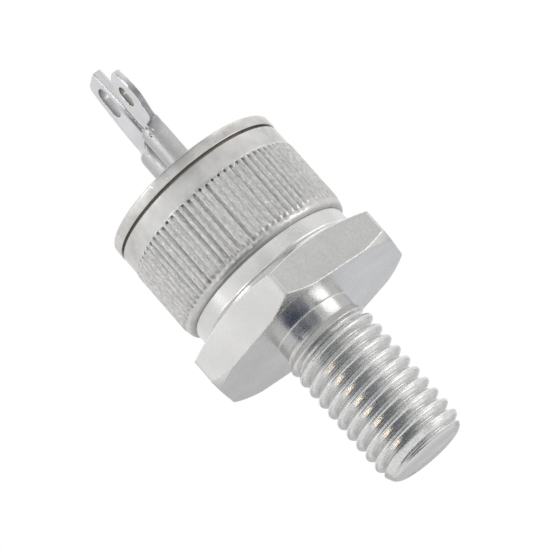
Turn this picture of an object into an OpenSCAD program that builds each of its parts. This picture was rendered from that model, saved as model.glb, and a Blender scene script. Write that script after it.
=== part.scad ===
// Stud-mount triac: a knurled can on a one-piece hexagon base and stud,
// closed by a lid that carries two glass-sealed tubular terminals.
// +Z runs up the stud's axis to the terminals, and z = 0 is the seating
// face of the hexagon, where the stud leaves it. Two corners of the
// hexagon lie on the Y axis.

/* [Stud] */
// Diameter over the crests of the stud's thread
stud_d = 6.26; // [5.9:0.02:7.4]
// Length of the stud from the seating face to its end
stud_len = 11.25; // [8:0.05:16]
// Diameter of the plain neck next to the seating face
neck_d = 5.52; // [4.8:0.02:5.8]
// Length of the plain neck
neck_len = 1.2; // [0.6:0.05:2.5]
// Bevel at the end of the stud
stud_bevel = 0.45; // [0.1:0.05:0.8]

/* [Hexagon] */
// Width across the flats
hex_af = 14.29; // [13.6:0.01:16]
// Height from the seating face to the foot of the collar
hex_h = 3.12; // [2.6:0.02:5]
// Slope of the turned top of the hexagon, in degrees
top_slope = 24.5; // [10:0.5:30]
// How far the bevel under the corners reaches in from them
corner_bevel = 0.8; // [0.3:0.05:1]
// Slope of the bevel under the corners, in degrees
bevel_slope = 30; // [15:1:40]
// Diameter of the collar that carries the can
collar_d = 11.98; // [10.6:0.02:12.4]
// Height of the collar
collar_h = 1.21; // [0.6:0.05:3]

/* [Can] */
// Outside diameter of the smooth wall
can_d = 12.72; // [11.4:0.01:14.5]
// Height of the can from its floor's underside to its rim
can_h = 6.65; // [6.4:0.05:10]
// Thickness of the wall
can_wall = 1.05; // [0.7:0.05:1.3]
// Thickness of the floor
can_floor = 1.5; // [0.9:0.05:2.2]
// Radius of the corner under the can
can_corner_r = 0.55; // [0.2:0.05:0.8]
// Thickness of the solder between the collar and the can
can_solder_t = 0.07; // [0.04:0.01:0.2]
// How far that solder stops short of the collar's edge
can_solder_inset = 0.2; // [0.18:0.02:1]

/* [Knurl] */
// Number of teeth round the can
knurl_teeth = 80; // [40:1:100]
// Height of the teeth above the smooth wall
knurl_rise = 0.07; // [0.02:0.01:0.15]
// Depth of the grooves below the smooth wall
knurl_cut = 0.07; // [0.02:0.01:0.15]
// Part of the pitch that is flat crest
knurl_crest = 0.5; // [0.2:0.05:0.7]
// Plain height under the teeth
knurl_foot = 0.47; // [0.2:0.01:1]
// Length of the teeth
knurl_len = 4.87; // [2:0.01:5]

/* [Lid] */
// How far the weld ring on the rim is set back from the can's wall
ring_inset = 0.34; // [0.15:0.01:0.6]
// Thickness of the weld ring
ring_t = 0.28; // [0.15:0.01:0.6]
// How far the lid stands out past the can's wall
lid_overhang = 0.03; // [0:0.01:0.2]
// Thickness of the lid
lid_t = 0.75; // [0.5:0.01:1.2]
// Bevel on the lid's upper edge
lid_bevel = 0.12; // [0.05:0.01:0.3]
// Radial thickness of the glass round the main terminal
main_glass_w = 0.8; // [0.5:0.05:0.9]
// Radial thickness of the glass round the gate terminal
gate_glass_w = 0.75; // [0.5:0.05:0.9]
// How far the glass creeps up and down past the lid
glass_creep = 0.12; // [0.05:0.01:0.3]

/* [Terminals] */
// Distance between the two terminals
terminal_gap = 4.29; // [3.6:0.01:4.8]
// Turn of the terminals' line from the Y axis, in degrees
terminal_turn = 10; // [-30:1:30]
// Turn of the flattened ears from the Y axis, in degrees
ear_turn = 22; // [-30:1:40]
// Length of both tubes below the lid
tube_drop = 0.6; // [0.3:0.05:1]
// Height of the tubes' shoulders above the lid
tube_rise = 4.25; // [3:0.05:7]
// Outside diameter of the main terminal's tube
main_tube_d = 2.1; // [1.8:0.02:2.3]
// Wall of the main terminal's tube
main_tube_wall = 0.33; // [0.2:0.01:0.4]
// Outside diameter of the gate terminal's tube
gate_tube_d = 1.7; // [1.4:0.02:1.9]
// Wall of the gate terminal's tube
gate_tube_wall = 0.17; // [0.12:0.01:0.3]

/* [Ears] */
// Length of the main ear above the shoulder
main_ear_len = 6.0; // [4.5:0.05:8]
// Greatest width of the main ear
main_ear_w = 2.7; // [2.3:0.05:3.2]
// Width of the main ear's tip
main_tip_w = 1.95; // [1.6:0.05:2.6]
// Width of the long hole in the main ear
main_slot_w = 1.5; // [0.9:0.02:1.6]
// Length of the long hole in the main ear
main_slot_len = 2.3; // [1.7:0.05:2.6]
// Distance from the main ear's tip to the middle of its hole
main_slot_inset = 1.85; // [1.6:0.05:2.4]
// Length of the gate ear above the shoulder
gate_ear_len = 3.95; // [3.4:0.05:6]
// Greatest width of the gate ear
gate_ear_w = 2.4; // [2:0.05:2.8]
// Width of the gate ear's tip
gate_tip_w = 1.75; // [1.5:0.05:2.2]
// Diameter of the round hole in the gate ear
gate_hole_d = 1.5; // [0.8:0.02:1.6]
// Distance from the gate ear's tip to the middle of its hole
gate_hole_inset = 1.6; // [1.2:0.05:2]
// How far the main ear stands off its tube's axis
main_ear_shift = 0.18; // [0:0.02:0.3]
// How far the gate ear stands off its tube's axis
gate_ear_shift = 0.3; // [0:0.02:0.4]
// Height over which the main tube folds flat
main_fold_h = 0.5; // [0.3:0.05:1]
// Height of the main ear's widest place above the shoulder
main_widen_h = 2.0; // [1.4:0.05:2.6]
// Height over which the gate tube folds flat
gate_fold_h = 0.25; // [0.2:0.05:0.8]
// Height of the gate ear's widest place above the shoulder
gate_widen_h = 1.6; // [1.2:0.05:2.2]

/* [Pellet stack] */
// Thickness of each solder preform in the stack
preform_t = 0.08; // [0.05:0.01:0.15]
// Radial gap between the support plate and the can's wall
support_gap = 0.4; // [0.3:0.02:0.6]
// Thickness of the support plate
support_t = 0.6; // [0.3:0.05:1]
// How far the coating's corners stay inside the support plate's rim
pellet_inset = 0.1; // [0.05:0.01:0.2]
// Thickness of the pellet
pellet_t = 0.3; // [0.2:0.02:0.5]
// Width of the coating over the pellet's edges
coating_w = 0.3; // [0.15:0.05:0.4]
// Thickness of the main contact plate
contact_t = 0.3; // [0.2:0.02:0.5]
// Diameter of the gate contact
gate_contact_d = 1.1; // [0.9:0.05:1.3]
// Gap between the gate contact and the main contact plate
contact_gap = 0.35; // [0.2:0.05:0.5]
// Bare edge of the pellet round the contacts
pellet_margin = 0.2; // [0.1:0.05:0.4]

/* [Leads] */
// Radial gap between the main lead and the bore of its tube
main_lead_gap = 0.12; // [0.05:0.01:0.3]
// Radial gap between the gate lead and the bore of its tube
gate_lead_gap = 0.3; // [0.15:0.01:0.4]
// How far the flat head at the foot of a lead stands out round it
lead_head_w = 0.15; // [0.05:0.01:0.2]
// Thickness of that head
lead_head_t = 0.2; // [0.1:0.02:0.3]
// Gap between the end of each lead and the closed end of its tube
lead_end_gap = 0.3; // [0.1:0.05:1]

/* [Hidden] */
$fn = 96;

// Radius of the hexagon's corners
corner_r = hex_af / sqrt(3);
// Overlap that lets a cut run clear of the face it opens
past = 1;
// Thickness of a hull's end slices, and the overlap of solids that are joined
slice = 0.01;
// Sides of the round slices that a flattened tube is drawn through
tube_sides = 48;
ear_sides = 24;

// Heights of the pieces, each standing on the one below it
collar_z = hex_h + collar_h;
can_z = collar_z + can_solder_t;
knurl_z = can_z + knurl_foot;
rim_z = can_z + can_h;
lid_z = rim_z + ring_t;
lid_top = lid_z + lid_t;
shoulder_z = lid_top + tube_rise;
tube_z = lid_z - tube_drop;
tube_h = shoulder_z - tube_z;
floor_z = can_z + can_floor;
support_z = floor_z + preform_t;
pellet_preform_z = support_z + support_t;
pellet_z = pellet_preform_z + preform_t;
pellet_top = pellet_z + pellet_t;
contact_z = pellet_top + preform_t;
contact_top = contact_z + contact_t;

// Radii that several pieces share
can_bore_r = can_d / 2 - can_wall;
support_r = can_bore_r - support_gap;
pellet_w = sqrt(2) * (support_r - pellet_inset) - 2 * coating_w;
lid_r = can_d / 2 + lid_overhang;
main_r = main_tube_d / 2;
gate_r = gate_tube_d / 2;
main_bore_r = main_r - main_tube_wall;
gate_bore_r = gate_r - gate_tube_wall;

// Edge of the main contact plate that faces the gate contact
plate_near_y = (gate_contact_d - terminal_gap) / 2 + contact_gap;

// A flattened tube is two walls thick
main_ear_t = 2 * main_tube_wall;
gate_ear_t = 2 * gate_tube_wall;

// Carries its children to the main terminal (side 1) or the gate (side -1)
module at_terminal(side) {
    rotate([0, 0, terminal_turn])
        translate([0, side * terminal_gap / 2, 0])
            children();
}

// Turns its children about a terminal's axis, so that X runs across the ear
module as_ear() {
    rotate([0, 0, ear_turn - terminal_turn + 90]) children();
}

// Turned from hexagon bar: one profile from the stud's end to the collar's top
module hex_stud_base() {
    bottom_r = corner_r - corner_bevel;
    turn_r = corner_r + slice;
    color("#c9cbcf")
        intersection() {
            translate([0, 0, -stud_len - past])
                rotate([0, 0, 30])
                    cylinder(r = corner_r, h = stud_len + collar_z + 2 * past, $fn = 6);
            rotate_extrude() polygon([
                [0, -stud_len],
                [stud_d / 2 - stud_bevel, -stud_len],
                [stud_d / 2, -stud_len + stud_bevel],
                [stud_d / 2, -neck_len - (stud_d - neck_d) / 2],
                [neck_d / 2, -neck_len],
                [neck_d / 2, 0],
                [bottom_r, 0],
                [turn_r, (turn_r - bottom_r) * tan(bevel_slope)],
                [turn_r, hex_h - (turn_r - collar_d / 2) * tan(top_slope)],
                [collar_d / 2, hex_h],
                [collar_d / 2, collar_z],
                [0, collar_z]]);
        }
}

module can_solder() {
    color("#b9bbb8")
        translate([0, 0, collar_z])
            cylinder(r = collar_d / 2 - can_solder_inset, h = can_solder_t);
}

// One pitch of the knurl is a flat crest and a V groove
function knurl_outline(crest_r, root_r) = [
    for (i = [0 : knurl_teeth - 1], k = [0 : 2])
        let (turn = [-knurl_crest / 2, knurl_crest / 2, 0.5][k],
             r = [crest_r, crest_r, root_r][k],
             a = (i + turn) * 360 / knurl_teeth)
        [r * cos(a), r * sin(a)]];

module knurled_can() {
    wall_r = can_d / 2;
    color("#c3c3bf")
        difference() {
            union() {
                // Floor with its round corner, and the wall up to the knurl
                rotate_extrude() {
                    translate([0, can_z]) square([wall_r - can_corner_r, knurl_foot]);
                    translate([0, can_z + can_corner_r])
                        square([wall_r, max(knurl_foot - can_corner_r, slice)]);
                    intersection() {
                        translate([wall_r - can_corner_r, can_z + can_corner_r])
                            circle(r = can_corner_r);
                        translate([0, can_z]) square([wall_r, can_corner_r]);
                    }
                }
                translate([0, 0, knurl_z - slice])
                    linear_extrude(height = knurl_len + slice)
                        polygon(knurl_outline(wall_r + knurl_rise, wall_r - knurl_cut));
                translate([0, 0, knurl_z + knurl_len - slice])
                    cylinder(r = wall_r, h = can_h - knurl_foot - knurl_len + slice);
            }
            translate([0, 0, floor_z]) cylinder(r = can_bore_r, h = can_h);
        }
}

module weld_ring() {
    color("#9a7f66")
        translate([0, 0, rim_z])
            difference() {
                cylinder(r = can_d / 2 - ring_inset, h = ring_t);
                translate([0, 0, -past]) cylinder(r = can_bore_r, h = ring_t + 2 * past);
            }
}

module lid() {
    color("#c8c9cc")
        difference() {
            union() {
                translate([0, 0, lid_z]) cylinder(r = lid_r, h = lid_t - lid_bevel);
                translate([0, 0, lid_top - lid_bevel])
                    cylinder(r1 = lid_r, r2 = lid_r - lid_bevel, h = lid_bevel);
            }
            at_terminal(1) translate([0, 0, lid_z - past])
                cylinder(r = main_r + main_glass_w, h = lid_t + 2 * past);
            at_terminal(-1) translate([0, 0, lid_z - past])
                cylinder(r = gate_r + gate_glass_w, h = lid_t + 2 * past);
        }
}

// A bead of glass that wets the tube a little above and below the lid
module glass_bead(tube_r, glass_w) {
    rotate_extrude() polygon([
        [tube_r, lid_z - glass_creep],
        [tube_r + glass_w, lid_z],
        [tube_r + glass_w, lid_top],
        [tube_r, lid_top + glass_creep]]);
}

module main_glass_seal() {
    color("#3d4a3f") at_terminal(1) glass_bead(main_r, main_glass_w);
}

module gate_glass_seal() {
    color("#3d4a3f") at_terminal(-1) glass_bead(gate_r, gate_glass_w);
}

// Level slice of an ear: two round edges a given width apart
module ear_slice(w, t, shift, z) {
    for (s = [-1, 1])
        translate([s * (w - t) / 2, -shift, z])
            cylinder(d = t, h = slice, $fn = ear_sides);
}

// Tube whose upper end is pressed flat into a tapering ear
module flattened_tube(r, ear_t, ear_w, tip_w, ear_len, shift, fold_h, widen_h) {
    neck_w = 2 * r;
    translate([0, 0, tube_z]) cylinder(r = r, h = tube_h);
    as_ear() {
        hull() {
            translate([0, 0, shoulder_z - slice])
                cylinder(r = r - slice, h = slice, $fn = tube_sides);
            ear_slice(neck_w, ear_t, shift, shoulder_z + fold_h);
        }
        hull() {
            ear_slice(neck_w, ear_t, shift, shoulder_z + fold_h);
            ear_slice(ear_w, ear_t, shift, shoulder_z + widen_h);
        }
        hull() {
            ear_slice(ear_w, ear_t, shift, shoulder_z + widen_h);
            ear_slice(tip_w, ear_t, shift, shoulder_z + ear_len - slice);
        }
    }
}

module main_terminal() {
    hole_z = shoulder_z + main_ear_len - main_slot_inset;
    slot_half = (main_slot_len - main_slot_w) / 2;
    color("#c6c7ca")
        at_terminal(1)
            difference() {
                flattened_tube(main_r, main_ear_t, main_ear_w, main_tip_w,
                               main_ear_len, main_ear_shift, main_fold_h, main_widen_h);
                translate([0, 0, tube_z - past])
                    cylinder(r = main_bore_r, h = past + tube_h - main_tube_wall);
                as_ear() {
                    for (s = [-1, 1])
                        translate([0, past, hole_z + s * slot_half])
                            rotate([90, 0, 0])
                                cylinder(d = main_slot_w, h = 2 * past + main_ear_shift);
                    translate([-main_slot_w / 2, -past - main_ear_shift, hole_z - slot_half])
                        cube([main_slot_w, 2 * past + main_ear_shift, 2 * slot_half]);
                }
            }
}

module gate_terminal() {
    hole_z = shoulder_z + gate_ear_len - gate_hole_inset;
    color("#bfc0c2")
        at_terminal(-1)
            difference() {
                flattened_tube(gate_r, gate_ear_t, gate_ear_w, gate_tip_w,
                               gate_ear_len, gate_ear_shift, gate_fold_h, gate_widen_h);
                translate([0, 0, tube_z - past])
                    cylinder(r = gate_bore_r, h = past + tube_h - gate_tube_wall);
                as_ear()
                    translate([0, past, hole_z])
                        rotate([90, 0, 0])
                            cylinder(d = gate_hole_d, h = 2 * past + gate_ear_shift);
            }
}

module base_preform() {
    color("#b4b6b3") translate([0, 0, floor_z]) cylinder(r = support_r, h = preform_t);
}

module support_plate() {
    color("#8f9296") translate([0, 0, support_z]) cylinder(r = support_r, h = support_t);
}

// Square slab on the can's axis, turned with the terminals
module slab(w, z, h) {
    rotate([0, 0, terminal_turn])
        translate([-w / 2, -w / 2, z]) cube([w, w, h]);
}

module pellet_preform() {
    color("#b4b6b3") slab(pellet_w, pellet_preform_z, preform_t);
}

module silicon_pellet() {
    color("#5a5f6e") slab(pellet_w, pellet_z, pellet_t);
}

module junction_coating() {
    color("#e6e2da")
        difference() {
            slab(pellet_w + 2 * coating_w, pellet_preform_z, pellet_top - pellet_preform_z);
            slab(pellet_w, pellet_preform_z - past, pellet_top - pellet_preform_z + 2 * past);
        }
}

// The main contact covers the pellet's face, but for its margin and the gate's side
module contact_block(z, h) {
    half_w = pellet_w / 2 - pellet_margin;
    rotate([0, 0, terminal_turn])
        translate([-half_w, plate_near_y, z])
            cube([2 * half_w, half_w - plate_near_y, h]);
}

module contact_preform() {
    color("#b4b6b3") contact_block(pellet_top, preform_t);
}

module contact_plate() {
    color("#a9805c") contact_block(contact_z, contact_t);
}

module gate_preform() {
    color("#b4b6b3")
        at_terminal(-1) translate([0, 0, pellet_top]) cylinder(d = gate_contact_d, h = preform_t);
}

module gate_contact() {
    color("#a9805c")
        at_terminal(-1) translate([0, 0, contact_z]) cylinder(d = gate_contact_d, h = contact_t);
}

// Straight lead that stands on a flat head under a terminal and runs up its tube
module lead(r, end_z) {
    translate([0, 0, contact_top]) {
        cylinder(r = r + lead_head_w, h = lead_head_t);
        cylinder(r = r, h = end_z - contact_top);
    }
}

module main_lead() {
    color("#b5764a")
        at_terminal(1)
            lead(main_bore_r - main_lead_gap, shoulder_z - main_tube_wall - lead_end_gap);
}

module gate_lead() {
    color("#b5764a")
        at_terminal(-1)
            lead(gate_bore_r - gate_lead_gap, shoulder_z - gate_tube_wall - lead_end_gap);
}

hex_stud_base();
can_solder();
knurled_can();
weld_ring();
lid();
main_glass_seal();
gate_glass_seal();
main_terminal();
gate_terminal();
base_preform();
support_plate();
pellet_preform();
silicon_pellet();
junction_coating();
contact_preform();
contact_plate();
gate_preform();
gate_contact();
main_lead();
gate_lead();
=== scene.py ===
# %% [markdown]
# # A stud-mount triac
# The part is a small metal can on a hexagon base with a threaded stud, and two
# terminals stand in its lid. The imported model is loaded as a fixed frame, and every
# new piece is built round it in the same place. The frame's box is kept, so that
# the finished model can be compared with it at the end.

# %% Load the frame
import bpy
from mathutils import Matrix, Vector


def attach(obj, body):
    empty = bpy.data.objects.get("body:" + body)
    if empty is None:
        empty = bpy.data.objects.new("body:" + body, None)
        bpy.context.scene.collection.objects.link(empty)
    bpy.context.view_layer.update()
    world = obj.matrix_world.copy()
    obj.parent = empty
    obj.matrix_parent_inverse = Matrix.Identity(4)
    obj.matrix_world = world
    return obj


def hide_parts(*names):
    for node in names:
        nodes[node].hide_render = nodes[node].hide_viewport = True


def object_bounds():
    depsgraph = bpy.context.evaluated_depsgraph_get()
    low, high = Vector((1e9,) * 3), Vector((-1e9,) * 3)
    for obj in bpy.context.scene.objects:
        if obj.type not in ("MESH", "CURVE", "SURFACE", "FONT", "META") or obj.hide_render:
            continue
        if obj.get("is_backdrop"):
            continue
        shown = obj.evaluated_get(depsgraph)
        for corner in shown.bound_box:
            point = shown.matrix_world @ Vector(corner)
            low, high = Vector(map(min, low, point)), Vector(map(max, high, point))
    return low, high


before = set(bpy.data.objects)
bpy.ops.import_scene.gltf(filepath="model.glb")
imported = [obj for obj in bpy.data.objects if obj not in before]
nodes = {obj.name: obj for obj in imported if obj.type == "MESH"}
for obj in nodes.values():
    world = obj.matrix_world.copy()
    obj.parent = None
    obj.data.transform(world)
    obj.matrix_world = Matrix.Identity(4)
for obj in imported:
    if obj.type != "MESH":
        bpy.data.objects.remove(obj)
cad_box = [list(corner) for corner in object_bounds()]

import math
import random

import bmesh
import bpy
from mathutils import Matrix, Vector

bpy.ops.object.select_all(action="DESELECT")
bpy.context.scene.view_settings.view_transform = "Standard"
print("pieces in the frame:", len(nodes))

# %% [markdown]
# ## One unit to the millimetre
# Blender's bevel and boolean tools treat lengths below about a tenth of a
# millimetre as nothing when a unit is a metre. So each piece is modelled with one
# unit to the millimetre and shrunk at the end. Nearly every step opens one mesh,
# works on it and leaves it closed, with its faces outward. These helpers do that.

# %% Open, merge, slice and close a mesh
MM = 0.001
MERGE = 0.0005


def only(piece):
    if bpy.context.mode != "OBJECT":
        bpy.ops.object.mode_set(mode="OBJECT")
    bpy.ops.object.select_all(action="DESELECT")
    piece.select_set(True)
    bpy.context.view_layer.objects.active = piece


def open_mesh(piece, kind="VERT"):
    only(piece)
    bpy.ops.object.mode_set(mode="EDIT")
    bpy.ops.mesh.select_mode(type=kind)
    bpy.ops.mesh.select_all(action="DESELECT")


def merge_close(piece):
    """Opens a mesh and merges its points that lie on top of each other."""
    open_mesh(piece)
    bpy.ops.mesh.select_all(action="SELECT")
    bpy.ops.mesh.remove_doubles(threshold=MERGE)


def slice_off(point, outward):
    """Cuts the open mesh at a plane, drops the outer side and fills the cut."""
    bpy.ops.mesh.select_all(action="SELECT")
    bpy.ops.mesh.bisect(plane_co=point, plane_no=outward, use_fill=True, clear_outer=True)


def close_outward():
    """Turns every face of the open mesh outward and leaves edit mode."""
    bpy.ops.mesh.select_all(action="SELECT")
    bpy.ops.mesh.normals_make_consistent(inside=False)
    bpy.ops.object.mode_set(mode="OBJECT")


print("points closer than", MERGE, "mm are merged")

# %% [markdown]
# ## Turning
# Most of the part was turned on a lathe. The same is done here: a profile is drawn
# in the XZ plane, one extruded point after another, and spun round the Z axis.
# Stacked cylinders could look alike, but a profile keeps all radii and heights in
# one list, and the piece is closed from the start.

# %% Draw a profile and turn it
STEPS = 192


def drawn(name, profile):
    """An open line through the (radius, height) points of a profile."""
    bpy.ops.mesh.primitive_plane_add(size=1)
    piece = bpy.context.object
    piece.name = name
    open_mesh(piece)
    bpy.ops.mesh.select_all(action="SELECT")
    bpy.ops.mesh.merge(type="CENTER")
    here = profile[0]
    bpy.ops.transform.translate(value=(here[0], 0, here[1]))
    for there in profile[1:]:
        step = (there[0] - here[0], 0, there[1] - here[1])
        bpy.ops.mesh.extrude_region_move(TRANSFORM_OT_translate={"value": step})
        here = there
    return piece


def turned(name, profile, steps=STEPS):
    piece = drawn(name, profile)
    bpy.ops.mesh.select_all(action="SELECT")
    bpy.ops.mesh.spin(steps=steps, angle=math.tau, center=(0, 0, 0), axis=(0, 0, 1))
    merge_close(piece)
    close_outward()
    print(name, "turned:", len(piece.data.vertices), "points")
    return piece


# %% [markdown]
# ## Rounded corners
# A turning tool leaves small round corners, and light catches on them. A bevel on
# the spun mesh would have to find each edge again. In the profile every corner has
# a number, so a short arc takes its place there.

# %% Round a profile's corners
ARC_POINTS = 4


def rounded(corner, before, after, radius):
    """Points of a small arc that takes the place of a profile's sharp corner."""
    corner, before, after = Vector(corner), Vector(before), Vector(after)
    one, two = (before - corner).normalized(), (after - corner).normalized()
    reach = radius / math.tan(one.angle(two) / 2)
    start, end = corner + one * reach, corner + two * reach
    arc = []
    for i in range(ARC_POINTS + 1):
        t = i / ARC_POINTS
        bow = (1 - t) ** 2 * start + 2 * t * (1 - t) * corner + t**2 * end
        arc.append((bow.x, bow.y))
    return arc


def eased(profile, radii):
    """A profile with the corners named in radii (index: radius) rounded."""
    out = []
    for i, point in enumerate(profile):
        if i in radii:
            out += rounded(point, profile[i - 1], profile[i + 1], radii[i])
        else:
            out.append(point)
    return out


# %% [markdown]
# ## The hexagon base
# The base was turned from round bar, and its six flats were milled afterwards. The
# same order works here. The bar is spun a little wider than the hexagon's corners,
# with its collar, the cone on its top and the bevel under its rim.

# %% Turn the base
SEAT_R, NECK_R, COLLAR_R, BAR_R = 7.45, 2.76, 5.99, 8.6
HEX_TOP, COLLAR_TOP = 3.12, 4.33
BOTTOM_SLOPE, TOP_SLOPE = math.tan(math.radians(30)), math.tan(math.radians(24.5))
bar_bottom = (BAR_R - SEAT_R) * BOTTOM_SLOPE
bar_top = HEX_TOP - (BAR_R - COLLAR_R) * TOP_SLOPE
base_profile = [
    (0, -0.7), (NECK_R, -0.7), (NECK_R, 0), (3.2, 0), (6.95, 0), (SEAT_R, 0),
    (BAR_R, bar_bottom), (BAR_R, bar_top),
    (COLLAR_R, HEX_TOP), (COLLAR_R, COLLAR_TOP), (0, COLLAR_TOP)]
base_rounds = {2: 0.06, 5: 0.08, 8: 0.3, 9: 0.03}
base = turned("hexagon_and_stud", eased(base_profile, base_rounds))

# %% [markdown]
# ## The flats
# Each flat is one slice, as a mill takes it off. Where it meets the cone and the
# bevel, the curved edges of a real nut come by themselves, which a hexagon drawn
# first would not give. Five narrow slices round off each corner.

# %% Mill the flats and round the corners
FLAT_R, CORNER_ROUND, HEX_TURN = 7.145, 0.4, -2


def mill(degrees, reach):
    turn = math.radians(degrees + HEX_TURN)
    outward = Vector((math.cos(turn), math.sin(turn), 0))
    slice_off(outward * reach, outward)


round_centre = (FLAT_R - CORNER_ROUND) / math.cos(math.radians(30))
open_mesh(base)
for k in range(6):
    mill(60 * k, FLAT_R)
    for step in (-20, -10, 0, 10, 20):
        mill(60 * k + 30 + step, round_centre * math.cos(math.radians(step)) + CORNER_ROUND)
only(base)
print("base after milling:", len(base.data.vertices), "points")

# %% [markdown]
# ## Modifiers and booleans
# A modifier only shows its result, so it is applied before the next step picks
# points on it. A boolean uses a second object as the tool. Its manifold solver is
# quick and exact as long as both meshes are closed.

# %% Apply modifiers and cut with a tool
def apply_all(piece):
    only(piece)
    for modifier in list(piece.modifiers):
        bpy.ops.object.modifier_apply(modifier=modifier.name)


def cut(piece, tool, how="DIFFERENCE"):
    """Applies one boolean and removes the tool."""
    modifier = piece.modifiers.new("cut", "BOOLEAN")
    modifier.operation, modifier.object, modifier.solver = how, tool, "MANIFOLD"
    apply_all(piece)
    bpy.data.objects.remove(tool, do_unlink=True)
    print(piece.name, how.lower() + ":", len(piece.data.polygons), "faces")


# %% [markdown]
# ## The thread
# A thread is one tooth profile carried round a helix. Half a tooth is written down
# and mirrored, and a Screw modifier turns the line and lifts it by a pitch each
# turn, so the end of one turn meets the start of the next. Stacked rings would be
# quicker, but their highlights would not climb as those of a real thread do.

# %% Wind the thread
PITCH = 25.4 / 28
STUD_END = -11.25
FIRST_CREST, TURNS, TURNS_BELOW, TURN_STEPS = -2.151, 15, 12, 96
THREAD_LOW, THREAD_HIGH = STUD_END - 0.4, -0.3
half_tooth = [(0, 3.13), (0.05, 3.124), (0.1, 3.105), (0.145, 3.072), (0.185, 3.02),
              (0.23, 2.94), (0.36, 2.70), (0.395, 2.65), (0.425, 2.625), (PITCH / 2, 2.618)]
tooth = [(r, -z) for z, r in reversed(half_tooth)] + [(r, z) for z, r in half_tooth[1:]]
lowest = FIRST_CREST - TURNS_BELOW * PITCH
thread = drawn("thread", [(r, z + lowest) for r, z in tooth])
only(thread)
screw = thread.modifiers.new("helix", "SCREW")
screw.axis, screw.angle, screw.screw_offset = "Z", math.tau, PITCH
screw.iterations, screw.steps, screw.render_steps = TURNS, TURN_STEPS, TURN_STEPS
screw.use_merge_vertices, screw.merge_threshold = True, MERGE
apply_all(thread)
merge_close(thread)
slice_off((0, 0, THREAD_LOW), (0, 0, -1))
slice_off((0, 0, THREAD_HIGH), (0, 0, 1))
close_outward()
print("thread:", TURNS, "turns,", len(thread.data.polygons), "faces")

# %% [markdown]
# ## The stud's ends
# A thread is cut into a blank, so its crests stop where the blank does: at the
# rounded end, and at the run-out by the neck. The wound thread is intersected with
# the turned blank. A core then fills the last grooves towards the neck, and both
# join the base. The core stays a hair inside the neck, as two skins in exactly the
# same place would leave edges that belong to four faces.

# %% Trim the thread to the blank and join it to the base
stud_tip = [(2.42, 0), (2.58, 0.05), (2.71, 0.15), (2.82, 0.31), (3.3, 1.38)]
blank = turned("blank", [(0, STUD_END)] + [(r, STUD_END + up) for r, up in stud_tip]
               + [(3.3, -2.05), (2.7, -0.85), (2.7, -0.45), (0, -0.45)], TURN_STEPS)
cut(thread, blank, "INTERSECT")
INSIDE_R = NECK_R - 0.005
run_out = turned("run_out", [(0, -3.4), (2.5, -3.4), (2.62, -2.6), (2.735, -1.6),
                             (INSIDE_R, -1.0), (INSIDE_R, -0.4), (0, -0.4)])
cut(thread, run_out, "UNION")
cut(base, thread, "UNION")
merge_close(base)
only(base)

# %% [markdown]
# ## The knurled can
# The can is a drawn cup: its lower corner is round, and its wall carries eighty
# straight teeth between two plain bands. The profile is spun in eight steps to a
# tooth, at the height of the crests, so that the grooves can be pressed into
# columns of points afterwards.

# %% Turn the can
CAN_R, CREST, BORE_R = 6.36, 6.43, 5.31
CAN_FOOT, CAN_RIM, FLOOR = 4.40, 11.10, 5.90
FOOT_DEEP, FOOT_HIGH, FOOT_STEPS = 0.25, 0.5, 8
TEETH, COLUMNS, OUTSIDE = 80, 8, 6.0
rings = [5.0, 5.06, 5.14, 5.25, 5.8, 6.5, 7.3, 8.1, 8.9, 9.35, 9.48, 9.56, 9.63, 9.69, 9.74]
wall = [(CAN_R + 0.02, rings[0]), (CAN_R + 0.05, rings[1])]
wall += [(CREST, z) for z in rings[2:-3]]
wall += [(CREST - 0.01, rings[-3]), (CAN_R + 0.03, rings[-2]), (CAN_R, rings[-1]), (CAN_R, 9.78)]
foot = [(CAN_R - FOOT_DEEP * (1 - math.sin(t)), CAN_FOOT + FOOT_HIGH * (1 - math.cos(t)))
        for t in (math.radians(90 / FOOT_STEPS * i) for i in range(FOOT_STEPS + 1))]
rim = rounded((CAN_R, CAN_RIM), (CAN_R, 0), (0, CAN_RIM), 0.04)
can = turned("knurled_can_wall",
             [(0, CAN_FOOT)] + foot + wall + [(CAN_R, 10.2)] + rim
             + [(BORE_R, CAN_RIM), (BORE_R, FLOOR), (0, FLOOR)], TEETH * COLUMNS)

# %% [markdown]
# ## The grooves
# A real knurl is never quite even, and a pattern that repeats looks false. So each
# groove belongs to one of ten classes, and each class will get its own depth and
# ends. The draw starts from a fixed seed, which gives the same knurl on every run.

# %% Choose a class for each groove
CLASSES = 10
random.seed(5)
groove_class = [random.randrange(CLASSES) for _ in range(TEETH)]
print("first grooves:", groove_class[:8])

# %% [markdown]
# ## Pressing
# The grooves of a class are pressed together: five columns of points are scaled in
# towards the axis, in four goes that start higher each time, so the lower end runs
# out. The top gets a small pit, where the tool bit deepest. Moving points is
# cheaper than eighty booleans and keeps the wall's grid even.

# %% Press the grooves
GROOVE = {-2: 0.3, -1: 0.8, 0: 1.0, 1: 0.8, 2: 0.3}
PIT = {-1: 0.5, 0: 1.0, 1: 0.5}
LIFTS, LIFT_SHARE = (0.0, 0.1, 0.2, 0.35), 0.25


def pick(piece, test):
    """Selects only the points whose place passes the test."""
    mesh = bmesh.from_edit_mesh(piece.data)
    bpy.ops.mesh.select_all(action="DESELECT")
    for corner in mesh.verts:
        corner.select = test(corner.co)
    mesh.select_flush_mode()
    bmesh.update_edit_mesh(piece.data)


def groove_foot(turn):
    """The knurl was rolled a little askew: its lower end dips at the front."""
    return 4.99 + 0.30 * math.sin(turn) + 0.09 * math.cos(turn)


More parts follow.
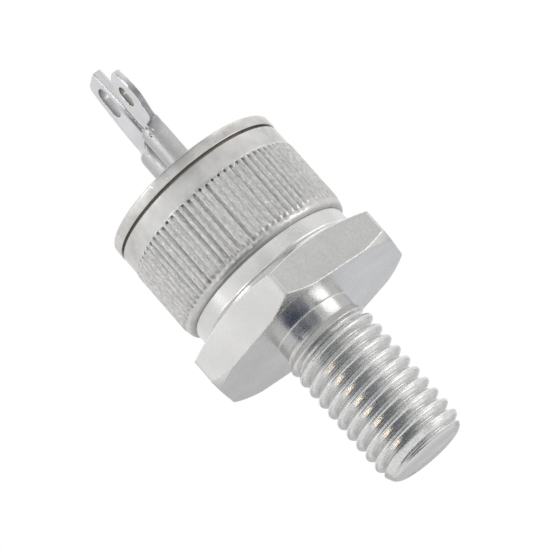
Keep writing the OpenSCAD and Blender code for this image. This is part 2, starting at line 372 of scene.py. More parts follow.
def press(number, offset, foot_at, high, depth):
    """Presses one column of points in every groove of a class."""
    def in_column(co):
        turn = math.atan2(co.y, co.x)
        if co.xy.length < OUTSIDE or not foot_at(turn) < co.z < high + 0.01:
            return False
        column = round(turn / math.tau * TEETH * COLUMNS) - offset
        tooth_number, place = divmod(column, COLUMNS)
        return place == 0 and groove_class[tooth_number % TEETH] == number
    pick(can, in_column)
    inward = 1 - depth / CREST
    bpy.ops.transform.resize(value=(inward, inward, 1), center_override=(0, 0, 0))


open_mesh(can)
for number in range(CLASSES):
    depth = random.uniform(0.10, 0.165)
    pit = random.uniform(0.16, 0.22)
    low = random.choice((-0.12, -0.06, 0.0, 0.08))
    high = rings[random.choice((-4, -3, -3, -3))]
    for lift in LIFTS:
        for offset, share in GROOVE.items():
            press(number, offset, lambda turn: groove_foot(turn) + low + lift, high,
                  depth * share * LIFT_SHARE)
    for offset, share in PIT.items():
        press(number, offset, lambda turn: high - 0.1, high, (pit - depth) * share)
only(can)
reach = [corner.co.xy.length for corner in can.data.vertices if 7 < corner.co.z < 9]
print("knurl radii:", round(min(r for r in reach if r > OUTSIDE), 3), "to", round(max(reach), 3))

# %% [markdown]
# ## The solder line
# Solder holds the can on the base's collar. It was drawn out a little by the heat,
# so a thin bead shows all round, and its profile is spun like the others.

# %% Turn the solder bead
solder_line = turned("solder_line", [(0, 4.33), (5.985, 4.33), (6.05, 4.36), (6.075, 4.395),
                                     (6.075, 4.42), (5.99, 4.43), (5.7, 4.41), (0, 4.41)])

# %% [markdown]
# ## The lid
# The lid is a turned disc with two holes, one for each glass bead. It is spun with
# soft edges, and the holes are bored with booleans where the terminals stand.

# %% Turn and bore the lid
TERMINAL_GAP, LINE_TURN = 4.29, 10
LID_R, LID_FOOT, LID_TOP = 6.39, 11.30, 12.08
MAIN, GATE = 1, -1
SEAL_R = {MAIN: 1.85, GATE: 1.60}


def terminal_place(side):
    turn = math.radians(LINE_TURN + 90)
    return Vector((math.cos(turn), math.sin(turn), 0)) * side * TERMINAL_GAP / 2


lid_profile = [(0, LID_FOOT), (LID_R, LID_FOOT), (LID_R, LID_TOP), (0, LID_TOP)]
lid = turned("lid_flange", eased(lid_profile, {1: 0.05, 2: 0.14}))
for side, radius in SEAL_R.items():
    bpy.ops.mesh.primitive_cylinder_add(
        vertices=64, radius=radius, depth=4,
        location=terminal_place(side) + Vector((0, 0, LID_TOP)))
    cut(lid, bpy.context.object)

# %% [markdown]
# ## The terminals
# Each terminal is a thin tube whose upper end was pressed flat in a tool. It is
# built from rings: a circle is added at each height, its halves are moved apart to
# the ear's width, and its ends are squared off where the tool sheared them. A
# flattened cylinder would have no such ends.

# %% Press one ring
SIDES, END_SHARE, SIDE_SHARE = 48, 0.7, 0.3
TUBE_FOOT, SHOULDER = 10.73, 16.33


def at_height(height):
    return lambda co: abs(co.z - height) < MERGE


def pressed_ring(piece, height, near, far, half_t, shift, square):
    """Adds one ring: a circle drawn out to the near and far side, with squared ends."""
    half_w, lean = (near + far) / 2, (far - near) / 2
    bpy.ops.mesh.select_all(action="DESELECT")
    bpy.ops.mesh.primitive_circle_add(vertices=SIDES, radius=half_t,
                                      location=(lean, -shift, height))
    level = at_height(height)
    for sign in (-1, 1):
        pick(piece, lambda co: level(co) and (co.x - lean) * sign > MERGE)
        bpy.ops.transform.translate(value=(sign * (half_w - half_t), 0, 0))
    for sign in (-1, 1):
        pick(piece, lambda co: level(co) and (co.y + shift) * sign > END_SHARE * half_t)
        bpy.ops.transform.resize(value=(1, 1 - square, 1),
                                 center_override=(0, sign * half_t - shift, height))
        pick(piece, lambda co: level(co)
             and (co.x - lean) * sign > half_w - SIDE_SHARE * half_t)
        bpy.ops.transform.resize(value=(1 - square, 1, 1),
                                 center_override=(lean + sign * half_w, 0, height))


# %% [markdown]
# ## From rings to a tube
# Each new ring is bridged to the one below it, which gives one clean row of faces
# per row of the table, and the two ends are filled.

# %% Bridge the rings
def pressed_tube(name, radius, pressing, flat, half_t, shift):
    """Rows above the shoulder: pressing has (rise, near reach, far reach, half
    thickness, shift, squareness), and flat has only (rise, near reach, far reach)."""
    bpy.ops.mesh.primitive_circle_add(vertices=SIDES, radius=radius, location=(0, 0, TUBE_FOOT))
    bpy.ops.object.transform_apply(location=True)
    piece = bpy.context.object
    piece.name = name
    open_mesh(piece)
    heights = [TUBE_FOOT]
    for rise, *form in pressing + [(*row, half_t, shift, 1) for row in flat]:
        height = SHOULDER + rise
        pressed_ring(piece, height, *form)
        below, level = at_height(heights[-1]), at_height(height)
        pick(piece, lambda co: below(co) or level(co))
        bpy.ops.mesh.bridge_edge_loops()
        heights.append(height)
    for end in (heights[0], heights[-1]):
        pick(piece, at_height(end))
        bpy.ops.mesh.edge_face_add()
    close_outward()
    print(name, "top:", round(heights[-1], 2), "mm")
    return piece


# %% [markdown]
# ## Holes and worn edges of the ears
# A wire is hooked through each ear, so it is pierced. The punch is a cylinder with
# its halves drawn apart, which makes the long hole too. The press left the ears
# with soft edges, and the edge nearest to the viewer is worn. Both are bevels on
# edges that are picked by their place and by the angle between their faces.

# %% Pierce and trim an ear
HOLE_SIDES, PUNCH_LONG = 40, 3
NEAR_SIDE, WORN, SOFT = -0.8, 0.09, 0.04


def pierced(piece, place, half_w, half_h):
    """Cuts a round or long hole through an ear."""
    bpy.ops.mesh.primitive_cylinder_add(vertices=HOLE_SIDES, radius=half_w, depth=PUNCH_LONG,
                                        rotation=(math.pi / 2, 0, 0))
    punch = bpy.context.object
    bpy.ops.object.transform_apply(rotation=True)
    open_mesh(punch)
    for sign in (-1, 1):
        pick(punch, lambda co: co.z * sign > MERGE)
        bpy.ops.transform.translate(value=(0, 0, sign * (half_h - half_w)))
    bpy.ops.mesh.select_all(action="SELECT")
    bpy.ops.transform.translate(value=(place.x, 0, place.z))
    only(punch)
    cut(piece, punch)


def bevel_where(piece, test, sharper_than, width, segments):
    """Bevels the edges whose two ends pass the test and whose faces meet sharply."""
    open_mesh(piece, "EDGE")
    mesh = bmesh.from_edit_mesh(piece.data)
    for edge in mesh.edges:
        edge.select_set(all(test(v.co) for v in edge.verts) and len(edge.link_faces) == 2
                        and edge.calc_face_angle(0) > math.radians(sharper_than))
    bmesh.update_edit_mesh(piece.data)
    bpy.ops.mesh.bevel(offset=width, segments=segments, affect="EDGES", clamp_overlap=True)
    only(piece)


def trimmed(piece, low, high, face, above):
    """Chamfers one broad face's near edge between two heights, then softens the ear."""
    bevel_where(piece, lambda co: low < co.z < high and co.x < NEAR_SIDE
                and abs(co.y - face) < 0.01, 40, WORN, 1)
    bevel_where(piece, lambda co: co.z > above, 55, SOFT, 2)
    print(piece.name, "trimmed:", len(piece.data.polygons), "faces")


# %% [markdown]
# ## The main terminal
# This is the taller tube and carries the load current. The first rows press it
# from a circle to a flat bar, and the others follow the ear's outline, which narrows
# towards its top, mostly on the far side.

# %% Press the main terminal
MAIN_T, MAIN_OFF = 0.34, 0.20
MAIN_HOLE = Vector((-0.05, -MAIN_OFF, SHOULDER + 4.15))
main = pressed_tube("main_terminal_ear", 1.05, [
    (-0.5, 1.05, 1.05, 1.05, 0, 0), (-0.25, 1.07, 1.07, 1.0, 0.01, 0),
    (0, 1.12, 1.13, 0.88, 0.05, 0.1), (0.25, 1.2, 1.24, 0.66, 0.12, 0.3),
    (0.5, 1.26, 1.32, 0.47, 0.17, 0.6), (0.75, 1.27, 1.36, 0.37, MAIN_OFF, 0.9)], [
    (1.0, 1.27, 1.38), (1.5, 1.29, 1.40), (2.0, 1.32, 1.40), (2.8, 1.28, 1.32),
    (4.2, 1.22, 1.12), (5.5, 1.14, 0.90), (5.85, 1.12, 0.80), (6.12, 1.09, 0.52)],
    MAIN_T, MAIN_OFF)
pierced(main, MAIN_HOLE, 0.68, 1.15)
trimmed(main, SHOULDER + 2.7, SHOULDER + 6.3, MAIN_T - MAIN_OFF, SHOULDER + 1.2)

# %% [markdown]
# ## The gate terminal
# The gate's tube is shorter and thinner. It was pressed in a sharper step, and its
# ear is a rounded leaf, so its rows lie closer together.

# %% Press the gate terminal
GATE_T, GATE_OFF = 0.21, 0.30
GATE_HOLE = Vector((-0.12, -GATE_OFF, SHOULDER + 2.35))
gate = pressed_tube("gate_terminal_ear", 0.85, [
    (-0.75, 0.85, 0.85, 0.85, 0, 0), (-0.4, 0.85, 0.85, 0.83, 0, 0),
    (-0.2, 0.86, 0.88, 0.74, 0.06, 0.1), (-0.08, 0.84, 0.9, 0.5, 0.2, 0.4),
    (0.02, 0.80, 0.93, 0.26, 0.28, 0.8)], [
    (0.15, 0.80, 0.96), (0.5, 0.90, 1.05), (0.9, 1.08, 1.13), (1.35, 1.26, 1.16),
    (1.8, 1.34, 1.13), (2.4, 1.34, 1.00), (3.0, 1.31, 0.80), (3.4, 1.26, 0.58),
    (3.7, 1.17, 0.32), (3.88, 1.06, 0.05), (3.97, 0.88, -0.25)],
    GATE_T, GATE_OFF)
pierced(gate, GATE_HOLE, 0.49, 0.76)
trimmed(gate, SHOULDER + 2.3, SHOULDER + 3.8, GATE_T - GATE_OFF, SHOULDER + 0.6)

# %% [markdown]
# ## Both in their places
# The terminals were built round the axis, where their sides are easy to pick. They
# are turned and moved into the lid at the end. The press pinched the gate's tube and
# left three dents, each cut with a small ball.

# %% Stand both up in the lid and press the tool marks
EAR_TURN, DENT_AXIS = 22, 0.88


def way(degrees):
    """The level direction at an angle round the part, counted from the front."""
    turn = math.radians(degrees)
    return Vector((math.sin(turn), -math.cos(turn), 0))


for piece, side in ((main, MAIN), (gate, GATE)):
    only(piece)
    piece.rotation_euler.z = math.radians(EAR_TURN + 90)
    piece.location = terminal_place(side)
    bpy.ops.object.transform_apply(location=True, rotation=True)
for turn, height, size in ((-15, 16.03, 0.15), (-24, 15.45, 0.14), (-4, 15.62, 0.12)):
    place = terminal_place(GATE) + way(turn) * DENT_AXIS
    bpy.ops.mesh.primitive_uv_sphere_add(segments=24, ring_count=16, radius=size,
                                         location=(place.x, place.y, height))
    dent = bpy.context.object
    dent.scale = (0.8, 0.8, 1.3)
    bpy.ops.object.transform_apply(location=True, scale=True)
    cut(gate, dent)

# %% [markdown]
# ## Materials
# Nearly everything is nickel plating, so the finishes share node groups: a cloudy
# tone, lathe rings, nicks, a zone, worn edges with painted highlights, painted shade in
# the grooves and a soft box for painted shade. These helpers
# keep the recipes short: a value that is a socket is linked, any other is set.

# %% Helpers for nodes
def feed(tree, socket, value):
    if isinstance(value, bpy.types.NodeSocket):
        tree.links.new(value, socket)
    else:
        socket.default_value = value


def add(tree, kind, values=None, **settings):
    """Adds a shader node, changes its settings and feeds its inputs."""
    node = tree.nodes.new("ShaderNode" + kind)
    for name, value in settings.items():
        setattr(node, name, value)
    for name, value in (values or {}).items():
        feed(tree, node.inputs[name], value)
    return node


def math_node(tree, how, one, two=0.0):
    return add(tree, "Math", {0: one, 1: two}, operation=how).outputs[0]


def times(tree, one, two):
    return math_node(tree, "MULTIPLY", one, two)


def plus(tree, one, two):
    return math_node(tree, "ADD", one, two)


def vector_math(tree, how, one, two=(0, 0, 0)):
    node = add(tree, "VectorMath", {0: one, 1: two}, operation=how)
    return node.outputs["Value" if how == "DOT_PRODUCT" else "Vector"]


def ranged(tree, value, low, high, to_low=0.0, to_high=1.0):
    """Maps a range of values to another one and holds it at the ends."""
    return add(tree, "MapRange", {"Value": value, "From Min": low, "From Max": high,
                                  "To Min": to_low, "To Max": to_high}).outputs["Result"]


def noise(tree, vector, scale, detail, roughness=0.5):
    return add(tree, "TexNoise", {"Vector": vector, "Scale": scale, "Detail": detail,
                                  "Roughness": roughness}).outputs["Fac"]


def split(tree, vector):
    return add(tree, "SeparateXYZ", {"Vector": vector}).outputs


def from_axis(tree, parts):
    """The distance from the part's axis."""
    squares = [times(tree, parts[side], parts[side]) for side in "XY"]
    return math_node(tree, "SQRT", plus(tree, *squares))


# %% [markdown]
# ## Node groups
# An effect that several materials share is built once, as a node group, and placed
# in each with its own values. The sockets are made first, and the group's nodes
# are hung between them afterwards.

# %% Start a node group
FLOAT, VECTOR = "NodeSocketFloat", "NodeSocketVector"


def new_group(name, inputs, outputs):
    """Starts a node group and returns it with its given and its result sockets."""
    group = bpy.data.node_groups.new(name, "ShaderNodeTree")
    group.interface.new_socket(name="Vector", in_out="INPUT", socket_type=VECTOR)
    for label, value in inputs.items():
        kind = VECTOR if isinstance(value, tuple) else FLOAT
        socket = group.interface.new_socket(name=label, in_out="INPUT", socket_type=kind)
        socket.default_value = value
    for label in outputs:
        kind = VECTOR if label == "Normal" else FLOAT
        group.interface.new_socket(name=label, in_out="OUTPUT", socket_type=kind)
    print("node group", name, "gives", ", ".join(outputs))
    return (group, group.nodes.new("NodeGroupInput").outputs,
            group.nodes.new("NodeGroupOutput").inputs)


# %% [markdown]
# ## Cloudy plating
# Plating from a barrel is never one flat tone: it drifts in soft clouds, with fine
# grain on top. Two noises give both from the place on the object, so nothing has
# to be unwrapped.

# %% Cloudy plating
tree, given, result = new_group(
    "cloudy_plating", {"Cloud Scale": 300.0, "Grain Scale": 5000.0}, ["Cloud", "Grain"])
feed(tree, result["Cloud"], noise(tree, given["Vector"], given["Cloud Scale"], 4.0, 0.6))
feed(tree, result["Grain"], noise(tree, given["Vector"], given["Grain Scale"], 3.0, 0.7))

# %% [markdown]
# ## Lathe rings
# A turning tool leaves fine rings, on a wall as well as on an end face. Radius plus
# height changes across both, so a noise along that one number draws them.

# %% Lathe rings
tree, given, result = new_group("lathe_rings", {"Rings per Metre": 8000.0}, ["Height"])
parts = split(tree, given["Vector"])
along = plus(tree, from_axis(tree, parts), parts["Z"])
rings_noise = add(tree, "TexNoise", {"W": along, "Scale": given["Rings per Metre"],
                                     "Detail": 2.0}, noise_dimensions="1D")
feed(tree, result["Height"], rings_noise.outputs["Fac"])

# %% [markdown]
# ## Bright nicks
# Parts that are tipped into a box together get small nicks that shine. A Voronoi
# texture has one point in each cell. A spot is drawn round the point, and the
# cell's random colour decides whether it is kept.

# %% Bright nicks
tree, given, result = new_group(
    "small_nicks", {"Nicks per Metre": 2800.0, "Size": 0.22, "Share": 0.25}, ["Mask"])
cells = add(tree, "TexVoronoi", {"Vector": given["Vector"], "Scale": given["Nicks per Metre"]})
nick_spot = ranged(tree, cells.outputs["Distance"], 0.0, given["Size"], 1.0, 0.0)
chance = add(tree, "SeparateColor", {"Color": cells.outputs["Color"]})
kept_nick = math_node(tree, "LESS_THAN", chance.outputs["Red"], given["Share"])
feed(tree, result["Mask"], times(tree, nick_spot, kept_nick))

# %% [markdown]
# ## A zone between two heights
# The knurl and the thread are rougher than the bands beside them and show streaks
# along the axis. The group gives a mask between two heights with soft ends, and a
# noise that is stretched along the axis.

# %% A streaked zone
tree, given, result = new_group(
    "streaked_zone", {"Low": 0.0, "High": 0.01, "Softness": 0.0001,
                      "Streaks per Metre": 13000.0}, ["Mask", "Streak"])
height = split(tree, given["Vector"])["Z"]
low_end = plus(tree, given["Low"], given["Softness"])
high_end = math_node(tree, "SUBTRACT", given["High"], given["Softness"])
above = ranged(tree, height, given["Low"], low_end)
below = ranged(tree, height, high_end, given["High"], 1.0, 0.0)
stretched = add(tree, "Mapping", {"Vector": given["Vector"], "Scale": (1, 1, 0.3)})
feed(tree, result["Mask"], times(tree, above, below))
streaks = noise(tree, stretched.outputs[0], given["Streaks per Metre"], 3.0, 0.7)
feed(tree, result["Streak"], streaks)

# %% [markdown]
# ## Worn edges and painted edge highlights
# Edges are painted pale: in part plating worn bright by handling, in part a painted
# highlight where an edge catches the light. The Bevel node gives a normal that
# is rounded near an edge. Where it differs from the true one there is an edge, and a
# noise breaks the line up. With Upright at 0, edges that stand upright stay dull, as
# the hexagon's corners do in the photograph.

# %% Worn edges and painted edge highlights
tree, given, result = new_group(
    "worn_and_highlit_edges", {"Radius": 0.00008, "Break Up": 4000.0, "Upright": 1.0}, ["Normal", "Mask"])
soft = add(tree, "Bevel", {"Radius": given["Radius"]}, samples=6).outputs[0]
plain = add(tree, "NewGeometry").outputs["Normal"]
same = vector_math(tree, "DOT_PRODUCT", soft, plain)
broken = noise(tree, given["Vector"], given["Break Up"], 2.0)
# This mask paints edges pale: worn plating, and also a painted highlight.
worn = times(tree, ranged(tree, same, 0.995, 0.9), ranged(tree, broken, 0.35, 0.6))
upness = math_node(tree, "ABSOLUTE", split(tree, soft)["Z"])
tilted = math_node(tree, "MAXIMUM", ranged(tree, upness, 0.05, 0.25), given["Upright"])
feed(tree, result["Normal"], soft)
feed(tree, result["Mask"], times(tree, worn, tilted))

# %% [markdown]
# ## Painted shade in the grooves
# The roots of the grooves are painted darker, as painted shade where little light
# reaches. Here the distance from the axis tells root from
# crest, between two heights.

# %% Painted shade low in the grooves
tree, given, result = new_group(
    "painted_groove_shade", {"Root": 0.0026, "Crest": 0.003, "Top": -0.0016, "Bottom": -0.0112},
    ["Mask"])
parts = split(tree, given["Vector"])
deep = ranged(tree, from_axis(tree, parts), given["Root"], given["Crest"], 1.0, 0.0)
below_top = math_node(tree, "LESS_THAN", parts["Z"], given["Top"])
above_end = math_node(tree, "GREATER_THAN", parts["Z"], given["Bottom"])
between = times(tree, below_top, above_end)
feed(tree, result["Mask"], times(tree, deep, between))

# %% [markdown]
# ## A soft box
# Some painted shade lies in one spot only, such as the dark inside of a hole or the
# shaded side of an ear. A box with soft sides marks the spot.

# %% A box with soft sides
tree, given, result = new_group(
    "soft_box", {"Centre": (0, 0, 0), "Half Size": (0.001, 0.001, 0.001),
                 "Softness": (0.0001, 0.0001, 0.0001)}, ["Mask"])
away = vector_math(tree, "SUBTRACT", given["Vector"], given["Centre"])
away = vector_math(tree, "ABSOLUTE", away)
inside = vector_math(tree, "SUBTRACT", given["Half Size"], away)
parts = split(tree, vector_math(tree, "DIVIDE", inside, given["Softness"]))
least = math_node(tree, "MINIMUM", parts["Y"], parts["Z"])
least = math_node(tree, "MINIMUM", parts["X"], least)
feed(tree, result["Mask"], ranged(tree, least, 0.0, 1.0))

# %% [markdown]
# ## Layers of a finish
# A material is built up in layers. Each layer takes the colour so far and blends
# its own tone in by a mask, as coats lie over each other. The shader itself stays
# in the material, and the groups give only colours, masks and heights.

# %% Layers of a finish
BUMP_DEPTH, CONTRAST = 0.00001, (0.35, 0.65)


def new_material(name):
    material = bpy.data.materials.new(name)
    material.use_nodes = True
    tree = material.node_tree
    return material, tree, tree.nodes["Principled BSDF"].inputs


def blended(tree, factor, one, two):
    """A colour mixed from two others by a mask; each may be a socket or a colour."""
    mix = add(tree, "Mix", data_type="RGBA")
    feed(tree, mix.inputs["Factor"], factor)
    for socket, value in ((mix.inputs["A"], one), (mix.inputs["B"], two)):
        feed(tree, socket, value if isinstance(value, bpy.types.NodeSocket) else (*value, 1))
    return mix.outputs["Result"]


def placed(tree, group, vector, **values):
    """Places a node group and sets its named inputs (underscores stand for blanks)."""
    node = add(tree, "Group", node_tree=bpy.data.node_groups[group])
    feed(tree, node.inputs["Vector"], vector)
    for name, value in values.items():
        node.inputs[name.replace("_", " ")].default_value = value
    return node.outputs


def facing(tree, direction, low, high):
    """A mask for the faces that look in a direction."""
    normal = add(tree, "NewGeometry").outputs["Normal"]
    return ranged(tree, vector_math(tree, "DOT_PRODUCT", normal, direction), low, high)


def marked(tree, place, colour, marks):
    """Blends in each mark of painted shade: (side, centre, half size, softness, tone, way it
    faces).
    """
    for side, centre, half, softness, tone, toward in marks:
        ear_place = add(tree, "Mapping", {
            "Vector": place, "Location": terminal_place(side) * MM,
            "Rotation": (0, 0, math.radians(EAR_TURN + 90))}, vector_type="TEXTURE")
        mark = placed(tree, "soft_box", ear_place.outputs[0], Softness=Vector(softness) * MM,
                      Centre=Vector(centre) * MM, Half_Size=Vector(half) * MM)["Mask"]
        if toward is not None:
            mark = times(tree, mark, facing(tree, way(toward), 0.7, 0.85))
        colour = blended(tree, mark, colour, tone)
    return colour


# %% [markdown]
# ## Plated metal
# One recipe serves every plated piece, with its own values: two tones for the
# clouds, a range of roughness, and the strength of rings, grain and nicks. The
# heights of all layers are added up and go through one Bump node.

# %% The recipe for plated metal
BARE_AND_HIGHLIGHT = (0.95, 0.95, 0.94)
ZONE_RINGS = 2.5


def plated(name, light, dark, rough, rings=0.0, grain=0.3, nicks=0.3, cloud_scale=300.0,
           edge=0.00008, groove=None, zone=None, share=0.25, upright=1.0, painted_light_top=None,
           marks=()):
    """groove is the painted shade in the roots (colour, root, crest, top, bottom), zone is (dark,
    light, grain, low, high).
    """
    material, tree, shader = new_material(name)
    shader["Metallic"].default_value = 1.0
    place = add(tree, "TexCoord").outputs["Object"]
    cloudy = placed(tree, "cloudy_plating", place, Cloud_Scale=cloud_scale)
    colour = blended(tree, ranged(tree, cloudy["Cloud"], *CONTRAST), dark, light)
    bumps = times(tree, cloudy["Grain"], grain)
    if zone:
        zone_dark, zone_light, zone_grain, low, high = zone
        streaked = placed(tree, "streaked_zone", place, Low=low, High=high)
        tone = blended(tree, ranged(tree, streaked["Streak"], *CONTRAST), zone_dark, zone_light)
        colour = blended(tree, streaked["Mask"], colour, tone)
        rougher = times(tree, streaked["Streak"], zone_grain)
        bumps = plus(tree, bumps, times(tree, rougher, streaked["Mask"]))
    # Painted shade: the roots of the grooves get a darker tone.
    if groove:
        tone, root, crest, top, bottom = groove
        deep = placed(tree, "painted_groove_shade", place, Root=root, Crest=crest, Top=top, Bottom=bottom)
        colour = blended(tree, deep["Mask"], colour, tone)
    # Painted light: faces that look up are blended towards a lighter tone.
    if painted_light_top:
        colour = blended(tree, facing(tree, (0, 0, 1), 0.4, 0.7), colour, painted_light_top)
    colour = marked(tree, place, colour, marks)
    # The edge mask paints worn plating and painted edge highlights pale.
    edges = placed(tree, "worn_and_highlit_edges", place, Radius=edge, Upright=upright)
    nick = times(tree, placed(tree, "small_nicks", place, Share=share)["Mask"], nicks)
    bright = math_node(tree, "MAXIMUM", edges["Mask"], nick)
    feed(tree, shader["Base Color"], blended(tree, bright, colour, BARE_AND_HIGHLIGHT))
    feed(tree, shader["Roughness"], ranged(tree, cloudy["Grain"], 0.3, 0.7, *rough))
    if rings:
        marks_height = placed(tree, "lathe_rings", place)["Height"]
        bumps = plus(tree, bumps, times(tree, marks_height, rings))
        if zone:
            more = times(tree, streaked["Mask"], ZONE_RINGS * rings)
            bumps = plus(tree, bumps, times(tree, marks_height, more))
    bump = add(tree, "Bump", {"Height": bumps, "Strength": 1.0, "Distance": BUMP_DEPTH,
                              "Normal": edges["Normal"]})
    feed(tree, shader["Normal"], bump.outputs["Normal"])
    print("finish", name, "has", len(tree.nodes), "nodes")
    return material


# %% [markdown]
# ## Base, can and lid
# The base is bright, its thread is streaked, and the roots of its thread are painted
# darker as painted shade. Its faces that look up, the cone on its top among them, are
# painted lighter as painted light from above. The can's knurl is coarse, with painted
# shade in its roots. The lid is satin.

# %% Finishes of the base, the can and the lid
base_metal = plated(
    "nickel_base", (0.67, 0.665, 0.66), (0.60, 0.595, 0.59), (0.18, 0.3), rings=0.2, grain=0.25,
    nicks=0.2, edge=0.0001, groove=((0.53, 0.53, 0.525), 0.0026, 0.00285, -0.0016, -0.0112),
    zone=((0.56, 0.56, 0.555), (0.76, 0.76, 0.755), 0.7, -0.0112, -0.0021), upright=0.0,
    painted_light_top=(0.82, 0.82, 0.81))
can_metal = plated(
    "satin_can", (0.61, 0.605, 0.595), (0.50, 0.495, 0.485), (0.3, 0.45), grain=0.6, nicks=1.0,
    cloud_scale=900.0, groove=((0.14, 0.14, 0.135), 0.00623, 0.00636, 0.0098, 0.00482),
    zone=((0.38, 0.375, 0.365), (0.67, 0.665, 0.65), 1.5, 0.00485, 0.0097), share=0.3)
lid_metal = plated(
    "satin_lid", (0.62, 0.615, 0.605), (0.50, 0.485, 0.465), (0.25, 0.4), grain=0.8, nicks=1.0,
    cloud_scale=900.0, share=0.15)

# %% [markdown]
# ## The terminals' plating
# Both terminals share one plating. The marks are painted shade: inside each hole,
# where little light falls, and on one side of each ear, low down.

# %% Finishes of the terminals
def ear_metal(name, marks):
    return plated(name, (0.68, 0.68, 0.695), (0.58, 0.58, 0.59), (0.3, 0.42), grain=0.6, nicks=0.5,
                  cloud_scale=500.0, edge=0.00009, share=0.1, marks=marks,
                  zone=((0.42, 0.42, 0.42), (0.50, 0.50, 0.50), 0.4, 0.0118, 0.0162))


HOLE_SOFT = (0.01, 0.01, 0.01)
# Painted shade: the inside of the long hole, and a dark patch low on the ear's side next to the
# gate.
main_metal = ear_metal("main_terminal_metal", [
    (MAIN, MAIN_HOLE, (0.75, 0.33, 1.25), HOLE_SOFT, (0.47, 0.47, 0.48), None),
    (MAIN, (-1.3, -MAIN_OFF + 0.55, SHOULDER + 1.0), (0.6, 0.5, 2.4), (0.3, 0.3, 1.6),
     (0.12, 0.12, 0.125), None)])
# Painted shade: the inside of the hole, and the lower faces of the ear that look a little right of
# the front.
gate_metal = ear_metal("gate_terminal_metal", [
    (GATE, GATE_HOLE, (0.55, 0.20, 0.85), HOLE_SOFT, (0.31, 0.315, 0.29), None),
    (GATE, (-1.0, -GATE_OFF, SHOULDER + 1.1), (1.0, 1.0, 2.2), (0.2, 0.2, 1.4),
     (0.24, 0.24, 0.25), EAR_TURN)])

# %% [markdown]
# ## The pieces that stay as packed
# The glass beads, the weld ring and everything inside the can keep the frame's own
# meshes. They need only a finish: two tones that drift into each other, and a
# little grain, both from the cloud group.

# %% A finish of two tones
def mottled(name, one, two, roughness, metallic=0.0, scale=800.0):
    material, tree, shader = new_material(name)
    shader["Metallic"].default_value = metallic
    shader["Roughness"].default_value = roughness
    place = add(tree, "TexCoord").outputs["Object"]
    cloudy = placed(tree, "cloudy_plating", place, Cloud_Scale=scale)
    feed(tree, shader["Base Color"], blended(tree, cloudy["Cloud"], one, two))
    bump = add(tree, "Bump", {"Height": cloudy["Grain"], "Strength": 0.6,
                              "Distance": BUMP_DEPTH})
    feed(tree, shader["Normal"], bump.outputs["Normal"])
    return material


seal_glass = mottled("sealing_glass", (0.012, 0.03, 0.022), (0.03, 0.055, 0.04), 0.12)
tarnish = mottled("tarnished_ring", (0.11, 0.105, 0.1), (0.34, 0.29, 0.24), 0.45,
                  metallic=1.0, scale=150.0)
solder = mottled("dull_solder", (0.42, 0.42, 0.41), (0.55, 0.55, 0.54), 0.5, metallic=1.0)
plate = mottled("ground_plate", (0.3, 0.31, 0.33), (0.38, 0.39, 0.41), 0.35, metallic=1.0)
silicon = mottled("polished_silicon", (0.09, 0.1, 0.13), (0.13, 0.14, 0.17), 0.15, metallic=0.6)
coating = mottled("silicone_coating", (0.72, 0.7, 0.65), (0.8, 0.78, 0.73), 0.55)
copper = mottled("bare_copper", (0.62, 0.33, 0.2), (0.74, 0.43, 0.28), 0.3, metallic=1.0)
for finish, names in (
        (tarnish, ["weld_ring"]), (seal_glass, ["main_glass_seal", "gate_glass_seal"]),
        (solder, ["base_preform", "pellet_preform", "contact_preform", "gate_preform"]),
        (plate, ["support_plate"]), (silicon, ["silicon_pellet"]),
        (coating, ["junction_coating"]),
        (copper, ["contact_plate", "gate_contact", "main_lead", "gate_lead"])):
    for name in names:
        for slot in nodes[name].material_slots:
            slot.material = finish
    print(finish.name, "on", ", ".join(names))

# %% [markdown]
# ## Handing the pieces over
# Each new piece is shrunk to metres, and that is applied, so that it stands unscaled
# at the origin. Smooth shading by angle keeps real edges sharp, and weighted normals
# keep large flat faces flat beside small bevels.

# %% Put the new pieces in place
CREASE = math.radians(28)


def finished(piece, node, material):
    """Shrinks a piece to metres and puts it in the place of its node."""
    merge_close(piece)
    only(piece)
    piece.scale = (MM, MM, MM)
    bpy.ops.object.transform_apply(location=True, rotation=True, scale=True)
    bpy.ops.object.shade_smooth_by_angle(angle=CREASE)
    weighted = piece.modifiers.new("flat faces stay flat", "WEIGHTED_NORMAL")
    weighted.keep_sharp = True
    apply_all(piece)
    piece.data.materials.clear()
    piece.data.materials.append(material)
    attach(piece, "root")
    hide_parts(node)
    print(piece.name, "faces:", len(piece.data.polygons))


finished(base, "hex_stud_base", base_metal)
finished(can, "knurled_can", can_metal)
finished(solder_line, "can_solder", solder)
finished(lid, "lid", lid_metal)
finished(main, "main_terminal", main_metal)
finished(gate, "gate_terminal", gate_metal)

# %% [markdown]
# ## Camera
# The photograph was taken with a long lens from below the hexagon, and the camera
# was rolled, so the part lies slanted across the picture. The camera's axes are
# worked out from where it stands, what it looks at and how far it is rolled.

# %% Camera
lens = bpy.data.cameras.new("camera")
camera = bpy.data.objects.new("camera", lens)
bpy.context.scene.collection.objects.link(camera)
bpy.context.scene.camera = camera
lens.sensor_width, lens.lens = 36.0, 234.82
lens.clip_start, lens.clip_end = 0.01, 10.0
EYE = Vector((-6.151, -220.223, -53.015)) * MM
AIM = Vector((0.1933, -0.0056, 3.9441)) * MM
ROLL = math.radians(-41.304)
forward = (AIM - EYE).normalized()
level = forward.cross(Vector((0, 0, 1))).normalized()
upright = level.cross(forward)
across = math.cos(ROLL) * level + math.sin(ROLL) * upright
axes = Matrix((across, across.cross(forward), -forward)).transposed()
camera.matrix_world = Matrix.Translation(EYE) @ axes.to_4x4()
print("the camera stands", round((AIM - EYE).length * 1000), "mm away")

# %% [markdown]
# ## Floor and world
# The photograph has a white ground. The part hangs over a pale floor that shows only
# from above, as the camera looks up through it, and that casts no shadow and no
# reflection. The world is white, and a little weaker for light than for
# reflections, so the dull sides keep some shade.

